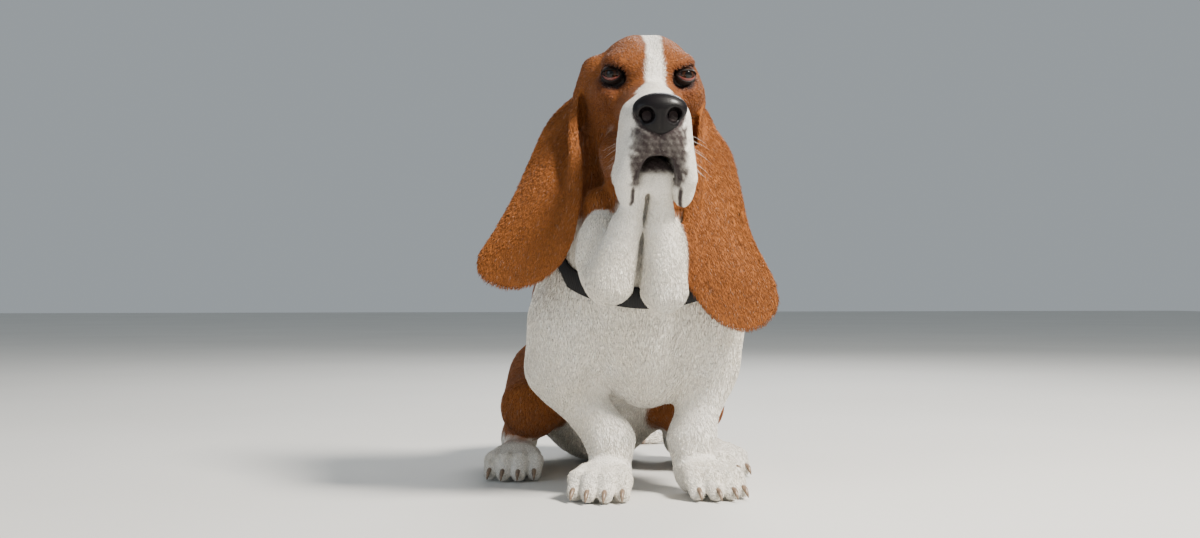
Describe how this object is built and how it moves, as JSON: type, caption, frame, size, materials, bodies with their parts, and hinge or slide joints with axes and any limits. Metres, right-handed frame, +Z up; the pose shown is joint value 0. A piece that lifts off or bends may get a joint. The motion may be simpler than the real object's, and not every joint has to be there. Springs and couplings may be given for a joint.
{
  "type": "basset hound, life-size still model",
  "caption": "Life-size basset hound sitting upright and looking ahead, with long hanging ears, a loose dewlap over a plain collar, short crooked forelegs and a tail laid on the floor.",
  "frame": {"origin": "on the floor, under the middle of the dog's box", "axes": "+Z up, +Y to the dog's tail, +X to the dog's left side; the dog faces -Y"},
  "size_m": [0.375, 0.7886, 0.5657],
  "materials": {
    "tan_coat": "short rust-tan fur",
    "white_coat": "short cream-white fur",
    "nose_leather": "moist pebbled dark skin",
    "eye": "wet dark brown eye",
    "collar": "black woven webbing"
  },
  "bodies": {
    "root": {"head": "tan_coat", "lower_jaw": "white_coat", "nose": "nose_leather", "eye_right": "eye", "eye_left": "eye", "ear_right": "tan_coat", "ear_left": "tan_coat", "neck": "tan_coat", "dewlap": "white_coat", "collar": "collar", "torso": "white_coat", "foreleg_right": "white_coat", "forepaw_right": "white_coat", "foreleg_left": "white_coat", "forepaw_left": "white_coat", "hind_leg_right": "tan_coat", "hind_paw_right": "white_coat", "hind_leg_left": "tan_coat", "hind_paw_left": "white_coat", "tail": "tan_coat"}
  },
  "joints": []
}
